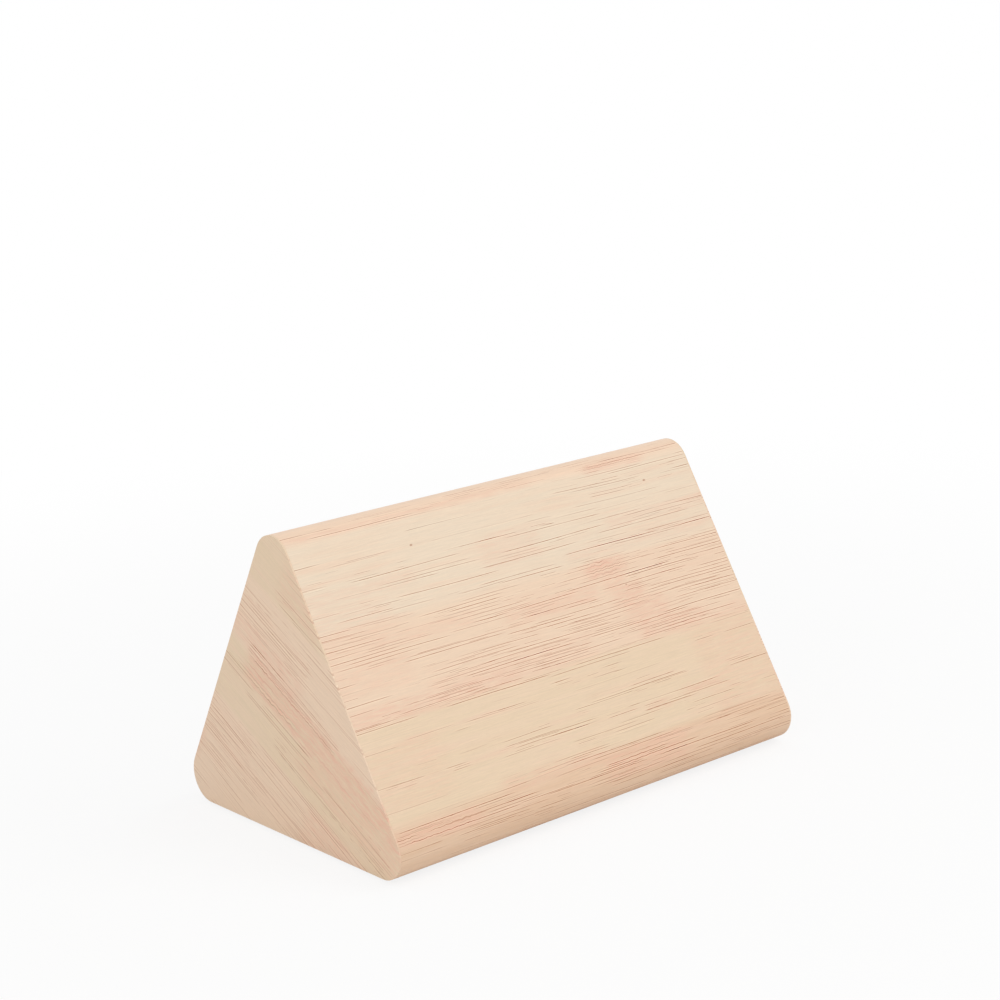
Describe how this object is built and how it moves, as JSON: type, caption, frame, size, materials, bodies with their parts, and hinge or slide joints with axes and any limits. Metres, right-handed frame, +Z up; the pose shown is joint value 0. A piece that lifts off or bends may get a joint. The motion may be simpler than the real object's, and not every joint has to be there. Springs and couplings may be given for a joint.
{
  "type": "wooden desk clock",
  "caption": "Digital desk clock in a three-sided wooden bar with rounded long edges; a hidden display in the front slope, a battery bay, buttons and a socket in the back slope.",
  "frame": {"origin": "under the middle of the clock, on the surface that its feet stand on", "axes": "+X along the bar, the display slope faces -Y, +Z up"},
  "size_m": [0.15, 0.0982, 0.0881],
  "materials": {
    "core_board": "raw medium-density board, routed",
    "bamboo_veneer": "pale bamboo veneer, satin, grain along the bar",
    "end_veneer": "pale bamboo veneer on the ends, satin, grain aslant",
    "foot_rubber": "soft matt rubber",
    "back_moulding": "fine spark texture, moulded",
    "door_moulding": "fine spark texture, moulded",
    "button_cap": "silver-grey moulded caps, satin",
    "screw_steel": "blackened zinc",
    "contact_nickel": "nickel-plated strip",
    "spring_steel": "nickel-plated wire",
    "switch_case": "moulded",
    "switch_plunger": "moulded",
    "main_board": "green solder mask",
    "display_board": "white solder mask",
    "black_part": "moulded component",
    "metal_can": "plain drawn can",
    "jack_brass": "turned pin",
    "coin_steel": "stainless",
    "light_frame": "white moulding, matt",
    "diffuser": "milky film",
    "light_chip": "clear resin over phosphor",
    "cell_sleeve": "printed sleeve with bare steel ends",
    "cable_grey": "ribbed insulation",
    "lead_black": "insulated wire",
    "lead_red": "insulated wire",
    "header_white": "moulded plug"
  },
  "bodies": {
    "clock_body": {"front_board": "core_board", "back_board": "core_board", "base_board": "core_board", "end_board_left": "core_board", "end_board_right": "core_board", "veneer_wrap": "bamboo_veneer", "end_veneer_left": "end_veneer", "end_veneer_right": "end_veneer", "feet": "foot_rubber", "back_plate": "back_moulding", "plate_screws": "screw_steel", "contact_plates": "contact_nickel", "contact_springs": "spring_steel", "switch_bodies": "switch_case", "main_pcb": "main_board", "pcb_screws": "screw_steel", "power_jack": "black_part", "jack_pin": "jack_brass", "buzzer": "black_part", "microphone": "metal_can", "temperature_sensor": "black_part", "microcontroller": "black_part", "crystal": "metal_can", "capacitor": "black_part", "coin_cell": "coin_steel", "coin_cell_holder": "black_part", "display_pcb": "display_board", "light_frame": "light_frame", "diffuser_film": "diffuser", "light_chips": "light_chip", "display_screws": "screw_steel", "display_driver": "black_part", "cable_headers": "header_white", "ribbon_cable": "cable_grey", "lead_negative": "lead_black", "lead_positive": "lead_red", "battery_cell_1": "cell_sleeve", "battery_cell_2": "cell_sleeve", "battery_cell_3": "cell_sleeve"},
    "battery_door": {"battery_door": "door_moulding"},
    "button_set": {"button_set": "button_cap", "switch_plunger_set": "switch_plunger"},
    "button_up": {"button_up": "button_cap", "switch_plunger_up": "switch_plunger"},
    "button_down": {"button_down": "button_cap", "switch_plunger_down": "switch_plunger"}
  },
  "joints": [
    {"name": "battery_door_hinge", "type": "hinge", "parent": "clock_body", "child": "battery_door", "pos_m": [0.02175, 0.03401, 0.03475], "axis": [-1, 0, 0], "range_deg": [0, 95]},
    {"name": "button_set_press", "type": "slide", "parent": "clock_body", "child": "button_set", "axis": [0, -0.866, -0.5], "range_m": [0, 0.0004], "stiffness_N_per_m": 1500},
    {"name": "button_up_press", "type": "slide", "parent": "clock_body", "child": "button_up", "axis": [0, -0.866, -0.5], "range_m": [0, 0.0004], "stiffness_N_per_m": 1500},
    {"name": "button_down_press", "type": "slide", "parent": "clock_body", "child": "button_down", "axis": [0, -0.866, -0.5], "range_m": [0, 0.0004], "stiffness_N_per_m": 1500}
  ]
}
